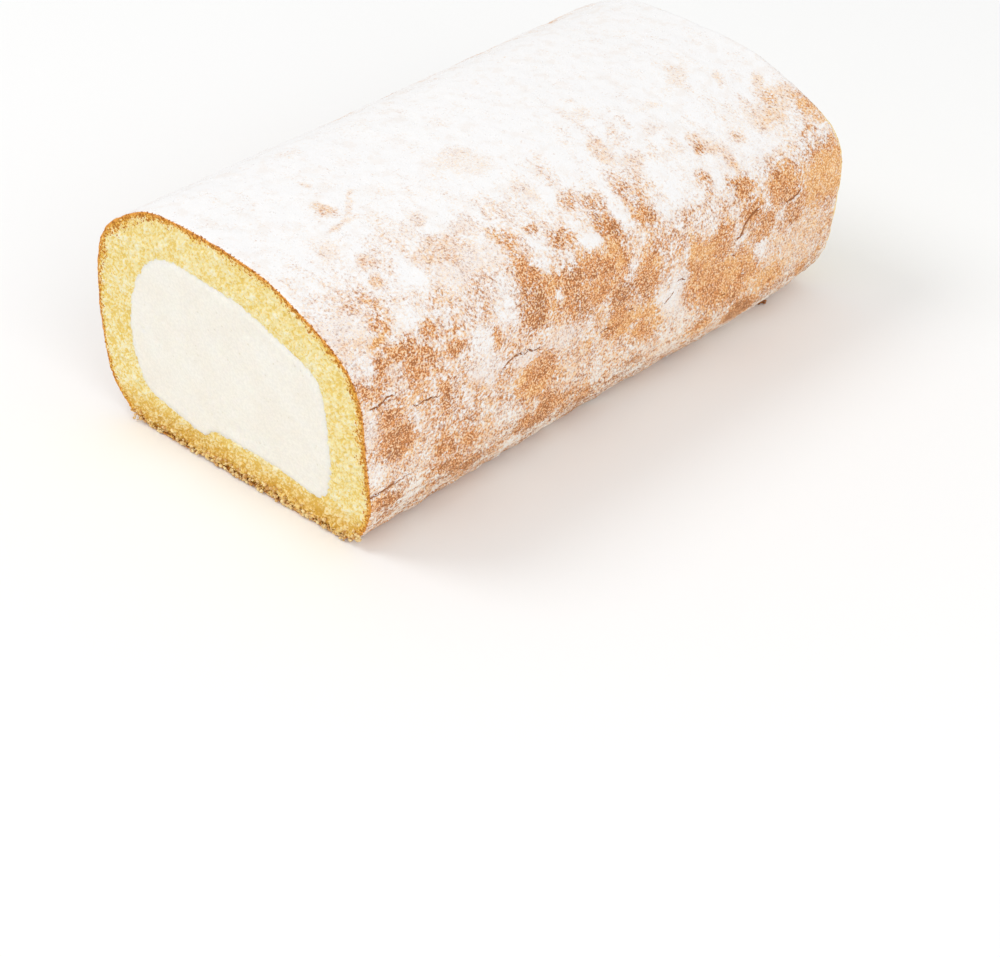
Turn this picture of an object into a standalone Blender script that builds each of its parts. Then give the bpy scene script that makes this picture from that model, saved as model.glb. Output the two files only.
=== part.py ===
"""A whole swiss roll cake: one sheet of sponge rolled once round a thick filling of whipped cream.

The two ends of the sheet meet in a seam under the roll, which has settled on a flat underside.
Frame: +X along the roll, with the cut end that is served first at -X, +Z up, and the origin in
the middle of the footprint of the whole roll. Units are metres.
"""

import math

import bmesh
import bpy
from mathutils import Vector

# Driving dimensions
LENGTH = 0.176  # from the foot of the -X cut to the +X cut
WIDTH = 0.099  # across the -X cut
HEIGHT = 0.073  # of the -X cut
CUT_LEAN = math.radians(5.5)  # the -X cut leans out over its foot
FAR_WIDTH = 1.136  # the +X end has settled wider than the -X end ...
FAR_HEIGHT = 0.908  # ... and lower
FAR_SHIFT = 0.0053  # and the roll bends a little towards +Y along its length
FAR_BELLY = 0.0011  # towards the +X end the -Y side sags out by this much more ...
FOOT_BELLY = 0.0006  # ... and its foot by this much on top of that
BELLY_RANGE = (0.45, 0.85)  # it grows between these shares of the length
BELLY_TOP = (0.045, 0.060)  # and fades out between these heights
CORNER_ROUND = 0.0026  # the foot is rounded off at the corner with the +X cut by this much ...
CORNER_RANGE = (0.90, 1.0)  # ... between these shares of the length
FOOT_TOP = (0.008, 0.028)  # the foot's sagging and rounding fade out between these heights
FAR_TUCK = 0.0015  # the foot of the +X cut is drawn in by this much ...
TUCK_TOP = 0.018  # ... up to this height
GAP = 0.0003  # between the sponge and the cream, and between the two ends of the sheet

# The seam under the roll
SEAM_Y = 0.0125  # where the sheet's ends meet, from the middle of the cut
SEAM_SLANT = 0.003  # how far the joint leans over between the cream and the underside
SEAM_ROUND = 0.0012  # the worn outer corners of the two ends
TONGUE_DROP = 0.0043  # the cream runs down into the joint by this much
TONGUE_THIN_SIDE = 0.021  # over which the +Y end of the sheet thins towards the joint
TONGUE_BLUNT_SIDE = 0.0037  # over which the -Y end of the sheet falls off

# Unevenness of a soft hand-rolled cake
SWELL = 0.0005  # slow swelling and narrowing along the roll
SWELL_FADE = (0.006, 0.024)  # heights between which it grows from none, so the foot stays flat
CREASE_DEPTH = 0.0009  # a fold that runs along the foot of the -Y side from the -X cut
CREASE_Z = 0.0098
CREASE_HALF = 0.0035
CREASE_END = 0.095  # where the fold has died out, from the -X cut

AROUND_SHEET = 96  # steps round the outside of the sheet
AROUND_CREAM = 64  # steps round the cream
STATIONS = 13  # even steps along the roll
LAST_STATION = 0.97  # and one more just before the +X cut
CURVE_STEPS = 24  # fine steps for each point of a cage

# Cages of closed cubic splines, in thousandths of a metre: y across the -X cut, z up.
# They run from the seam under the roll up the -Y side, over the top and down the +Y side.
SHEET_CAGE = (
    (-18, 0), (-34.5, 0), (-40, 0), (-50, 12), (-47.5, 27.5), (-53, 54.5), (-30, 65.5), (-22.5, 71),
    (18, 74), (24.5, 69.5), (45, 58.6), (50, 21), (50.5, 8.5), (42, 0), (32, 0), (18, 0),
)  # fmt: skip
CREAM_CAGE = (
    (-22, 12), (-29, 7), (-35, 16.5), (-36.5, 35), (-36.5, 48.5), (-27, 50.5), (-9, 59),
    (0.5, 57.5), (20.5, 63.5), (38.5, 34.5), (35, 15.5), (33.5, 12.5), (12.5, 12),
)  # fmt: skip


def closed_spline(cage):
    """Points along the closed uniform cubic B-spline of a cage."""
    count = len(cage)
    points = []
    for i in range(count):
        a, b, c, d = (Vector(cage[(i + k) % count]) for k in (-1, 0, 1, 2))
        for step in range(CURVE_STEPS):
            t = step / CURVE_STEPS
            weights = (
                (1 - t) ** 3,
                3 * t**3 - 6 * t**2 + 4,
                -3 * t**3 + 3 * t**2 + 3 * t + 1,
                t**3,
            )
            points.append((a * weights[0] + b * weights[1] + c * weights[2] + d * weights[3]) / 6)
    return points


def sized(points, like):
    """Scales points so that the spline "like" measures WIDTH by HEIGHT and stands at z = 0."""
    low_y, high_y = min(p.x for p in like), max(p.x for p in like)
    high_z = max(p.y for p in like)
    wide, tall = WIDTH / (high_y - low_y), HEIGHT / high_z
    middle = (low_y + high_y) / 2
    return [Vector(((p.x - middle) * wide, p.y * tall)) for p in points]


def from_seam(points, seam_y):
    """The same closed outline as an open one that starts and ends under the roll, at seam_y."""
    count = len(points)
    under = [
        i
        for i in range(count)
        if points[i].x >= seam_y > points[(i + 1) % count].x and points[i].y < HEIGHT / 2
    ]
    first = under[0]
    a, b = points[first], points[(first + 1) % count]
    start = a.lerp(b, (a.x - seam_y) / (a.x - b.x))
    return [start] + [points[(first + 1 + k) % count] for k in range(count)] + [start.copy()]


def evenly(points, steps):
    """An open outline respaced to equal steps, with both of its ends kept."""
    lengths = [0.0]
    for a, b in zip(points, points[1:]):
        lengths.append(lengths[-1] + (b - a).length)
    respaced, k = [], 0
    for i in range(steps + 1):
        at = lengths[-1] * i / steps
        while k < len(points) - 2 and lengths[k + 1] < at:
            k += 1
        share = (at - lengths[k]) / (lengths[k + 1] - lengths[k])
        respaced.append(points[k].lerp(points[k + 1], min(share, 1.0)))
    return respaced


def with_tongue(points):
    """The cream's outline with the tongue that runs down into the seam."""
    changed = []
    for p in points:
        off = p.x - SEAM_Y
        reach = TONGUE_THIN_SIDE if off > 0 else TONGUE_BLUNT_SIDE
        near = max(0.0, 1 - abs(off) / reach) if p.y < HEIGHT / 3 else 0.0
        changed.append(Vector((p.x, p.y - TONGUE_DROP * near ** (1.6 if off > 0 else 1.0))))
    return changed


def outward(points, i):
    """The unit normal of an outline at point i, away from the middle of the roll."""
    along = points[min(i + 1, len(points) - 1)] - points[max(i - 1, 0)]
    return Vector((-along.y, along.x)).normalized()


def sheet_outlines():
    """The outer and the inner face of the sheet, each from the seam round to the seam."""
    outer_curve = closed_spline(SHEET_CAGE)
    outer = from_seam(sized(outer_curve, outer_curve), SEAM_Y + SEAM_SLANT)
    inner = from_seam(sized(closed_spline(CREAM_CAGE), outer_curve), SEAM_Y)
    return evenly(outer, AROUND_SHEET), evenly(with_tongue(inner), AROUND_CREAM)


def smooth_step(value, low, high):
    t = min(max((value - low) / (high - low), 0.0), 1.0)
    return t * t * (3 - 2 * t)


def placed(point, share):
    """Where a point of the -X cut's outline lies at a share of the way along the roll."""
    wide = 1 + (FAR_WIDTH - 1) * share
    tall = 1 + (FAR_HEIGHT - 1) * share
    y, z = point.x * wide + FAR_SHIFT * share, point.y * tall
    # slow swelling, different on each side, and none at the foot
    side = math.atan2(point.y - HEIGHT / 2, point.x)
    swell = SWELL * (math.sin(2.3 * math.pi * share + 2 * side) + 0.6 * math.sin(5.1 * share - side))
    swell *= smooth_step(z, *SWELL_FADE) * 4 * share * (1 - share)
    y += swell * math.cos(side)
    z += swell * math.sin(side)
    # the fold along the foot of the -Y side
    if point.x < -WIDTH / 3:
        near = max(0.0, 1 - abs(point.y - CREASE_Z) / CREASE_HALF)
        y += CREASE_DEPTH * near * (1 - smooth_step(share * LENGTH, 0.0, CREASE_END))
    # the sagging side and the rounded, drawn-in foot of the +X end
    foot = 1 - smooth_step(z, *FOOT_TOP)
    belly = (FAR_BELLY + FOOT_BELLY * foot) * smooth_step(share, *BELLY_RANGE)
    belly *= 1 - smooth_step(z, *BELLY_TOP)
    belly -= CORNER_ROUND * foot * smooth_step(share, *CORNER_RANGE)
    y -= belly * smooth_step(-point.x, 0.02, 0.04)
    x = LENGTH * share - point.y * math.tan(CUT_LEAN) * (1 - share)
    x -= FAR_TUCK * share * (1 - smooth_step(z, 0.0, TUCK_TOP))
    return Vector((x, y, z))


def loft(name, outline):
    """A closed solid through the stations of one outline along the roll, with flat cut ends."""
    shape = bmesh.new()
    shares = [k / STATIONS for k in range(STATIONS)] + [LAST_STATION, 1.0]
    rings = [[shape.verts.new(placed(point, share)) for point in outline] for share in shares]
    count = len(outline)
    for near, far in zip(rings, rings[1:]):
        for i in range(count):
            j = (i + 1) % count
            shape.faces.new((near[i], near[j], far[j], far[i]))
    shape.faces.new(rings[0])
    shape.faces.new(rings[-1])
    bmesh.ops.recalc_face_normals(shape, faces=shape.faces)
    mesh = bpy.data.meshes.new(name)
    shape.to_mesh(mesh)
    shape.free()
    return bpy.data.objects.new(name, mesh)


def finish(name, colour, roughness):
    """A plain material for one sub-part."""
    material = bpy.data.materials.new(name)
    material.use_nodes = True
    shader = material.node_tree.nodes["Principled BSDF"]
    shader.inputs["Base Color"].default_value = (*colour, 1)
    shader.inputs["Roughness"].default_value = roughness
    shader.inputs["Metallic"].default_value = 0.0
    return material


def make_sponge():
    """The rolled sheet: its outer face, the two ends at the seam, and its inner face."""
    outer, inner = sheet_outlines()
    half = Vector((GAP / 2, 0))
    corner = Vector((0, SEAM_ROUND))
    first_end = [outer[0] - half + corner, outer[0] - Vector((SEAM_ROUND, 0))]
    last_end = [outer[-1] + Vector((SEAM_ROUND, 0)), outer[-1] + half + corner]
    inner = [inner[0] - half] + inner[1:-1] + [inner[-1] + half]
    sponge = loft("sponge", first_end + outer[1:-1] + last_end + inner[::-1])
    sponge.data.materials.append(finish("sponge", (0.86, 0.66, 0.32), 0.85))
    return sponge


def make_cream():
    """The filling: the inner face of the sheet, drawn in by the gap, closed at its tongue."""
    _, inner = sheet_outlines()
    drawn_in = [p - outward(inner, i) * GAP for i, p in enumerate(inner)][1:-1]
    tongue = inner[0] + Vector((0, 3 * GAP))
    cream = loft("cream", [tongue] + drawn_in)
    cream.data.materials.append(finish("cream", (0.91, 0.87, 0.79), 0.55))
    return cream


def centre(objects):
    """Moves the meshes so that the origin is the middle of the footprint of the whole roll."""
    corners = [v.co for thing in objects for v in thing.data.vertices]
    middle_x = (min(c.x for c in corners) + max(c.x for c in corners)) / 2
    middle_y = (min(c.y for c in corners) + max(c.y for c in corners)) / 2
    for thing in objects:
        for vertex in thing.data.vertices:
            vertex.co.x -= middle_x
            vertex.co.y -= middle_y


for old in list(bpy.data.objects):
    bpy.data.objects.remove(old)
roll = bpy.data.collections.new("swiss_roll")
bpy.context.scene.collection.children.link(roll)
parts = [make_sponge(), make_cream()]
centre(parts)
for part in parts:
    part.data.shade_smooth()
    part.data.set_sharp_from_angle(angle=math.radians(40))
    roll.objects.link(part)
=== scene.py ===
"""A whole swiss roll cake: browned and sugared outside, yellow crumb and whipped cream inside.

The roll is dressed in the order it is made: the sheet of sponge, its browned skin, the cream,
the sugar sifted over it and the crumbs that the knife left. Units are metres. +X runs along the
roll, away from the cut end that is served first; the long side that shows is -Y.
"""

import math
import random

import bmesh
import bpy
import numpy as np
from mathutils import Matrix, Vector, noise
from mathutils.bvhtree import BVHTree


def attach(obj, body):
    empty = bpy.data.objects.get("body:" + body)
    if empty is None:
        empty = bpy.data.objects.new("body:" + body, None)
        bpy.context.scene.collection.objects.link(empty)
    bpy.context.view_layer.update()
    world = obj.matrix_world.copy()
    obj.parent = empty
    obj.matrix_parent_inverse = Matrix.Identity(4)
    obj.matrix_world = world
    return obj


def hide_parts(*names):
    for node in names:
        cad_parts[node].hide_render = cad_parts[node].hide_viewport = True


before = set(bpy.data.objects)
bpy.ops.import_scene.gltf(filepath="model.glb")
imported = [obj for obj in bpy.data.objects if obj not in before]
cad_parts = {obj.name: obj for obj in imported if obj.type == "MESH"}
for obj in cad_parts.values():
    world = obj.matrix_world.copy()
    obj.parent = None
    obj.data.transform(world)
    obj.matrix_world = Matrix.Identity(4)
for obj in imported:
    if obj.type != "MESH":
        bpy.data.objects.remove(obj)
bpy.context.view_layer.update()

# ----------------------------------------
# Camera. Someone at the table looks down on the cut end and the long side of the roll. The
# angles are measured from +X, down from the horizon, and about the line of sight.
CAMERA_PLACE = Vector((-0.3802, -0.3749, 0.3278))
CAMERA_YAW = math.radians(43.59)
CAMERA_PITCH = math.radians(34.91)
CAMERA_ROLL = math.radians(-0.57)
CAMERA_LENS = 82.2  # on a sensor 36 mm wide

ahead = Vector(
    (
        math.cos(CAMERA_YAW) * math.cos(CAMERA_PITCH),
        math.sin(CAMERA_YAW) * math.cos(CAMERA_PITCH),
        -math.sin(CAMERA_PITCH),
    )
)
level = Vector((math.sin(CAMERA_YAW), -math.cos(CAMERA_YAW), 0.0))
upright = level.cross(ahead)
right = level * math.cos(CAMERA_ROLL) + upright * math.sin(CAMERA_ROLL)
up = upright * math.cos(CAMERA_ROLL) - level * math.sin(CAMERA_ROLL)
camera = bpy.data.objects.new("camera", bpy.data.cameras.new("camera"))
camera.data.lens = CAMERA_LENS
camera.data.sensor_width = 36
camera.matrix_world = Matrix.Translation(CAMERA_PLACE) @ Matrix((right, up, -ahead)).transposed().to_4x4()
bpy.context.scene.collection.objects.link(camera)
bpy.context.scene.camera = camera

# ----------------------------------------
# The sponge: one sheet of yellow sponge, rolled so that its two ends meet under the roll. Its
# crumb shows at both cuts, fine and open, with a browned line where it meets the skin. It is a
# flat grid that is rolled: the outlines are read off the solid sheet and the solid cream.
SEAM_OUTER_Y = (0.0108, 0.0182)  # where the sheet's ends meet on the underside, near and far
SEAM_INNER_Y = (0.0078, 0.0148)  # and where they meet inside, at the cream
AXIS_Z = 0.034  # the height of the line inside the roll that its outlines are seen from
OUTLINE_STATIONS = 40
OUTLINE_RAYS = 1440
RAY_LENGTH = 0.12  # from outside the roll to that line
SKIN = 0.0004  # the browned skin is this thick before the crumb starts
UNDER_CRUST = 0.00085  # away from the cuts the crumb stays this far below the outer face
CRUMB_REACH = 0.0006  # the crumb runs this far into the cream, whose face then covers it
CRUMB_STEP = 0.00036  # the size of the faces of a cut
CRUMB_DEEPEST = 0.0125  # rows of the cut lie this far down into the crumb; the next is its inner face
PORE_DEPTH = 0.00034
CRUMB_GRAINS = ((0.0019, 0.00034), (0.0009, 0.00020))  # size and height of the crumb's lumps
KNIFE_SLANT = math.radians(-45)  # the knife was drawn down across the cut, from -Y to +Y ...
KNIFE_DRAG = 1.5  # ... and has dragged the crumb's lumps this much longer that way
# How wide the browned band under the skin is: millimetres round from the seam, metres wide.
BROWNED_BAND = (
    (0, 0.0006), (55, 0.0008), (64, 0.0016), (100, 0.0019), (125, 0.0013), (180, 0.0014), (196, 0.0021),
    (220, 0.0020), (228, 0.0009), (252, 0.0010), (260, 0.0016), (285, 0.0006),
)  # fmt: skip

sheet_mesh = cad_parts["sponge"].data
heights = np.array([v.co[:] for v in sheet_mesh.vertices])
NEAR_FOOT_X = heights[(heights[:, 2] < 0.001) & (heights[:, 0] < 0)][:, 0].min()
NEAR_SLOPE = (NEAR_FOOT_X - heights[:, 0].min()) / heights[:, 2].max()  # the near cut leans out
FOOT_LENGTH = heights[:, 0].max() - NEAR_FOOT_X
BARE_END = 0.0055  # under the roll, at the seam, the skin is missing over this much
FAR_TUCK = 0.0015  # the foot of the far cut is drawn in by this much ...
TUCK_TOP = 0.018  # ... up to this height


def smooth_round(rows, steps):
    """Evens out closed rows of numbers over about that many steps, to take the facets off."""
    reach = np.arange(-3 * steps, 3 * steps + 1)
    weights = np.exp(-0.5 * (reach / steps) ** 2)
    weights /= weights.sum()
    padded = np.concatenate([rows[:, -3 * steps :], rows, rows[:, : 3 * steps]], axis=1)
    return np.array([np.convolve(row, weights, "valid") for row in padded])


def cut_x(share, z):
    """Where a section at a share of the way along the roll is at height z."""
    low = 1 - np.clip(z / TUCK_TOP, 0, 1)
    tuck = FAR_TUCK * share * low * low * (3 - 2 * low)
    return NEAR_FOOT_X + FOOT_LENGTH * share - NEAR_SLOPE * z * (1 - share) - tuck


def read_outlines(node, seam_y, soften):
    """Outlines of a solid at even stations, each from the seam under the roll round to the seam."""
    tree = BVHTree.FromObject(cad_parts[node], bpy.context.evaluated_depsgraph_get())
    distances, turns = [], []
    for share in np.linspace(0, 1, OUTLINE_STATIONS):
        inside = min(max(share, 0.004), 0.988)
        seam = seam_y[0] + (seam_y[1] - seam_y[0]) * share
        start = math.atan2(-AXIS_Z, seam)
        turn = start - np.linspace(0, 2 * math.pi, OUTLINE_RAYS, endpoint=False)
        slant = NEAR_SLOPE * (1 - inside)
        row = []
        for angle in turn:
            way = Vector((-slant * math.sin(angle), math.cos(angle), math.sin(angle)))
            axis = Vector((cut_x(inside, AXIS_Z), 0, AXIS_Z))
            hit = tree.ray_cast(axis + way * RAY_LENGTH, -way)[0]
            row.append(math.hypot(hit.y, hit.z - AXIS_Z))
        distances.append(row)
        turns.append(turn)
    distances = smooth_round(np.array(distances), soften)
    along = np.concatenate([distances[:1]] * 2 + [distances] + [distances[-1:]] * 2)
    distances = sum(along[k : k + OUTLINE_STATIONS] * w for k, w in enumerate((1, 2, 3, 2, 1))) / 9
    outlines = []
    for row, turn in zip(distances, turns):
        y, z = row * np.cos(turn), np.maximum(AXIS_Z + row * np.sin(turn), 0)
        outlines.append(np.stack([np.append(y, y[0]), np.append(z, z[0])], axis=1))
    return outlines


def at_shares(outlines, shares, rounds):
    """Points of the outlines: one row for each share along, one column for each share round."""
    respaced = []
    for outline in outlines:
        steps = np.linalg.norm(np.diff(outline, axis=0), axis=1)
        lengths = np.concatenate([[0], np.cumsum(steps)])
        lengths /= lengths[-1]
        respaced.append([np.interp(rounds, lengths, outline[:, k]) for k in (0, 1)])
    respaced = np.array(respaced)
    stations = np.linspace(0, 1, len(outlines))
    points = np.empty((len(shares), len(rounds), 3))
    for column in range(len(rounds)):
        for k in (0, 1):
            points[:, column, k + 1] = np.interp(shares, stations, respaced[:, k, column])
    points[:, :, 0] = cut_x(np.array(shares)[:, None], points[:, :, 2])
    return points


sheet_outer = read_outlines("sponge", SEAM_OUTER_Y, 7)
sheet_inner = read_outlines("cream", SEAM_INNER_Y, 3)
ROUND_LENGTH = np.linalg.norm(np.diff(sheet_outer[0], axis=0), axis=1).sum()


def sheet_points(rounds, path):
    """The rolled sheet at (share along, depth below its outer face) for each row of a path."""
    shares = [share for share, _ in path]
    outer = at_shares(sheet_outer, shares, rounds)
    inner = at_shares(sheet_inner, shares, rounds)
    thickness = np.linalg.norm(inner - outer, axis=2)
    depths = np.array([depth for _, depth in path])[:, None] / thickness
    inmost = 1 + CRUMB_REACH / thickness
    depths = np.where(depths < 0, inmost, np.minimum(depths, inmost))  # a negative depth: the inner face
    return outer + (inner - outer) * depths[:, :, None], depths * thickness, (1 - depths) * thickness


def wobble(points, size, seed, octaves=2):
    """Noise at each point, about -1 to 1, for features of that size."""
    offset = Vector((seed * 7.31, seed * 3.77, seed * 5.13))
    flat = points.reshape(-1, 3) / size
    values = [noise.fractal(Vector(p) + offset, 1.0, 2.0, octaves) for p in flat]
    return np.array(values).reshape(points.shape[:-1])


def pores(points, size, seed, share):
    """0 to 1 in round pores of about that size; a share of the cells hold one."""
    found = np.zeros(len(points))
    offset = Vector((seed * 3.1, seed * 1.7, seed * 2.3))
    for i, p in enumerate(points / size):
        at = Vector(p) + offset
        distances, centres = noise.voronoi(at)
        chance = 0.5 + 0.5 * noise.cell(centres[0] * 9.7)
        if chance < share:
            found[i] = min(max(1 - distances[0] / (0.25 + 0.45 * chance / share), 0.0), 1.0)
    return found


noise.seed_set(7)  # without it the vector noise is another one each run


def lumps(points, size, seed):
    """0 in the gaps to 1 on the tops of rounded lumps of about that size."""
    offset = Vector((seed * 3.9, seed * 2.7, seed * 1.9))
    tops = []
    for p in points.reshape(-1, 3) / size:
        at = Vector(p) + offset
        distances, _ = noise.voronoi(at + 0.35 * noise.noise_vector(at * 1.3))
        tops.append(min(1.5 * (distances[1] - distances[0]), 1.0))
    return np.array(tops).reshape(points.shape[:-1])


def dragged(points):
    """Places in the crumb as they were before the knife dragged it."""
    x, y, z = points[..., 0], points[..., 1], points[..., 2]
    cos, sin = math.cos(KNIFE_SLANT), math.sin(KNIFE_SLANT)
    return np.stack([x, (y * cos + z * sin) / KNIFE_DRAG, z * cos - y * sin], axis=-1)


def rolled_grid(points, layers):
    """A grid of points made a shape: its columns run round the roll and its rows along a path."""
    rows, columns = points.shape[:2]
    shape = bmesh.new()
    bmesh.ops.create_grid(shape, x_segments=columns - 1, y_segments=rows - 1, size=1.0)
    made = {key: shape.verts.layers.float.new(key) for key in layers}
    for vert in shape.verts:
        column = round((vert.co.x + 1) / 2 * (columns - 1))
        row = round((vert.co.y + 1) / 2 * (rows - 1))
        vert.co = points[row, column]
        for key, values in layers.items():
            vert[made[key]] = values[row, column]
    bmesh.ops.remove_doubles(shape, verts=shape.verts, dist=0.000002)
    return shape, made


SHARP_OVER = math.radians(62)  # the edges of the cuts are sharp


def placed(name, mesh):
    """A mesh as a piece that rides with the roll."""
    piece = bpy.data.objects.new(name, mesh)
    bpy.context.scene.collection.objects.link(piece)
    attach(piece, "root")
    return piece


def finished(name, shape):
    """A piece from a bmesh: closed and smooth, with its normals outward."""
    bmesh.ops.holes_fill(shape, edges=[e for e in shape.edges if e.is_boundary], sides=0)
    bmesh.ops.recalc_face_normals(shape, faces=shape.faces)
    mesh = bpy.data.meshes.new(name)
    shape.to_mesh(mesh)
    shape.free()
    mesh.shade_smooth()
    mesh.set_sharp_from_angle(angle=SHARP_OVER)
    return placed(name, mesh)


def open_seam(points, rounds):
    """Draws the two ends of the sheet a little apart, so that they don't grow together."""
    near_start = np.clip(1 - rounds * ROUND_LENGTH / 0.002, 0, 1)
    near_end = np.clip(1 - (1 - rounds) * ROUND_LENGTH / 0.002, 0, 1)
    points[:, :, 1] += 0.000004 * (near_end - near_start)


down = [(0.0, d) for d in np.linspace(SKIN, CRUMB_DEEPEST, 40)] + [(0.0, -1)]
inside = [(share, -1) for share in np.linspace(0, 1, 9)[1:-1]]
back = [(1.0, -1)] + [(1.0, d) for d in np.linspace(CRUMB_DEEPEST, SKIN, 28)]
outside = [(share, UNDER_CRUST) for share in (0.994, 0.8, 0.6, 0.4, 0.2, 0.006)]
path = down + inside + back + outside + [(0.0, SKIN)]
rounds = np.linspace(0, 1, round(ROUND_LENGTH / CRUMB_STEP))
crumb, below_skin, above_cream = sheet_points(rounds, path)
open_seam(crumb, rounds)
on_near = np.array([share == 0.0 for share, _ in path])
on_near[-1] = False
on_far = np.array([share == 1.0 for share, _ in path])
relief = np.zeros(crumb.shape[:2])
for rows, out in ((on_near, -1), (on_far, 1)):
    face = crumb[rows]
    before = dragged(face)
    flat = before.reshape(-1, 3)
    pore = np.maximum(pores(flat, 0.0023, 1, 0.32), 0.7 * pores(flat, 0.0012, 2, 0.42))
    height = 0.00012 * wobble(face, 0.005, 4) - PORE_DEPTH * pore.reshape(face.shape[:2])
    coarser = 1 + 0.9 * np.clip(1 - face[:, :, 2] / 0.013, 0, 1)
    for seed, (size, tall) in enumerate(CRUMB_GRAINS):
        height += tall * coarser * (lumps(before, size, seed + 3) - 0.55)
    foot = np.clip(1 - face[:, :, 2] / 0.0036, 0, 1)
    # the knife drags crumbs along the edges, most of all at the foot
    height += foot * (0.00075 * wobble(face, 0.0013, 7, 3) + 0.0004 * wobble(face, 0.004, 8))
    torn = 0.00016 + 0.00034 * foot
    relief[rows] = height / (PORE_DEPTH + 0.0002)
    # it sinks under the smeared cream at its inner edge, and falls back over the table
    scallops = 0.0005 * wobble(face, 0.0034, 9) + 0.0003 * wobble(face, 0.0013, 10)
    sunk = np.clip(1 - (above_cream[rows] + CRUMB_REACH + scallops) / 0.0013, 0, 1)
    sunk += 1.6 * np.clip(1 - face[:, :, 2] / 0.0009, 0, 1)
    crumb[rows, :, 0] += out * (height - 0.00042 * sunk)
    crumb[rows, :, 1] += torn * wobble(face, 0.0013, 5)
    crumb[rows, :, 2] += torn * wobble(face, 0.0013, 6)
crumb[-1] = crumb[0]
# at the seam one end of the sheet has lost its skin, and lies bare on the table
bare = rounds * ROUND_LENGTH < BARE_END
crumb[-1 - len(outside) : -1, bare, 2] = 0.0
crumb[:, :, 2] = np.maximum(crumb[:, :, 2], 0.0002)


def surface(name, constants):
    """A new material with these constants on its Principled shader; also its tree and the shader."""
    material = bpy.data.materials.new(name)
    material.use_nodes = True
    shader = material.node_tree.nodes["Principled BSDF"]
    for socket, value in constants.items():
        shader.inputs[socket].default_value = value
    return material, material.node_tree, shader


def node(tree, kind, sockets=(), **settings):
    """Adds a shader node. Sockets are given by name or number, as a value or an output."""
    made = tree.nodes.new("ShaderNode" + kind)
    for name, value in settings.items():
        setattr(made, name, value)
    for key, value in dict(sockets).items():
        if isinstance(value, bpy.types.NodeSocket):
            tree.links.new(value, made.inputs[key])
        else:
            made.inputs[key].default_value = value
    return made


def own_place(tree):
    """The piece's own coordinates."""
    return node(tree, "TexCoord").outputs["Object"]


def dragged_place(tree):
    """The same, dragged along the cut as the knife drags the crumb."""
    sockets = {"Vector": own_place(tree), "Rotation": (KNIFE_SLANT, 0, 0), "Scale": (1, KNIFE_DRAG, 1)}
    return node(tree, "Mapping", sockets, vector_type="TEXTURE").outputs[0]


def speckle(tree, size, detail, roughness, seed, place=own_place):
    """Noise for features of that size, about 0 to 1."""
    moved = node(tree, "Mapping", {"Vector": place(tree), "Location": (seed, seed * 0.7, seed * 1.3)})
    sockets = {"Vector": moved.outputs[0], "Scale": 1 / size, "Detail": detail, "Roughness": roughness}
    return node(tree, "TexNoise", sockets).outputs["Fac"]


def stretch(tree, value, low, high, to_low=0.0, to_high=1.0, soft=True):
    """Maps low..high to to_low..to_high, with soft ends."""
    how = "SMOOTHSTEP" if soft else "LINEAR"
    sockets = {0: value, 1: low, 2: high, 3: to_low, 4: to_high}
    return node(tree, "MapRange", sockets, interpolation_type=how).outputs[0]


def maths(tree, how, first, second=0.5, third=0.5):
    return node(tree, "Math", {0: first, 1: second, 2: third}, operation=how).outputs[0]


def mixed(tree, share, first, second, how="MIX"):
    """Colour mixed from first to second by share."""
    return node(tree, "Mix", {0: share, 6: first, 7: second}, data_type="RGBA", blend_type=how).outputs[2]


def attribute(tree, name):
    return node(tree, "Attribute", attribute_name=name).outputs["Fac"]


def bump(tree, shader, height, distance, strength=1.0):
    made = node(tree, "Bump", {"Height": height, "Distance": distance, "Strength": strength})
    tree.links.new(made.outputs[0], shader.inputs["Normal"])


CRUMB_PALE = (1.0, 0.93, 0.67, 1)
CRUMB_YELLOW = (1.0, 0.85, 0.43, 1)
CRUMB_DEEP = (0.91, 0.65, 0.16, 1)
CRUMB_WARM_SHADE = (0.98, 0.68, 0.21, 1)
CRUMB_GOLDEN = (0.90, 0.46, 0.05, 1)
CRUMB_BROWNED = (0.50, 0.17, 0.015, 1)
CRUMB_SOAKED = (0.97, 0.92, 0.76, 1)
CRUMB_GAP_SHADE = (0.30, 0.11, 0.015, 1)
CRUMB_FINISH = {
    "Roughness": 0.9,
    "Specular IOR Level": 0.2,
    "Subsurface Weight": 0.10,
    "Subsurface Radius": (1.0, 0.6, 0.25),
    "Subsurface Scale": 0.0008,
}
sponge_look, tree, shader = surface("yellow_crumb", CRUMB_FINISH)
place = node(tree, "SeparateXYZ", {0: own_place(tree)})
above_table = place.outputs["Z"]
fine = maths(tree, "SUBTRACT", speckle(tree, 0.00062, 1.5, 0.6, 0.5, dragged_place), 0.5)
patchy = maths(tree, "SUBTRACT", speckle(tree, 0.0030, 3.0, 0.6, 0.2, dragged_place), 0.5)
# the clumps stand out more near the table and up the far side of the cut
coarse = stretch(tree, above_table, 0.006, 0.020, 1.55, 1.0)
coarse = maths(tree, "MAXIMUM", coarse, stretch(tree, place.outputs["Y"], 0.015, 0.045, 1.0, 1.6))
clumps = maths(tree, "MULTIPLY_ADD", fine, 2.8, maths(tree, "MULTIPLY", patchy, 1.5))
heaped = maths(tree, "MULTIPLY_ADD", clumps, coarse, attribute(tree, "relief"))
# the lumps' tops are paler and their hollows a deeper yellow: partly the crumb's own mottling, partly
# painted highlight and painted shade that follow its relief
colour = mixed(tree, stretch(tree, heaped, -0.95, -0.05), CRUMB_DEEP, CRUMB_YELLOW)
colour = mixed(tree, stretch(tree, heaped, -0.15, 0.50), colour, CRUMB_PALE)
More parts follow.
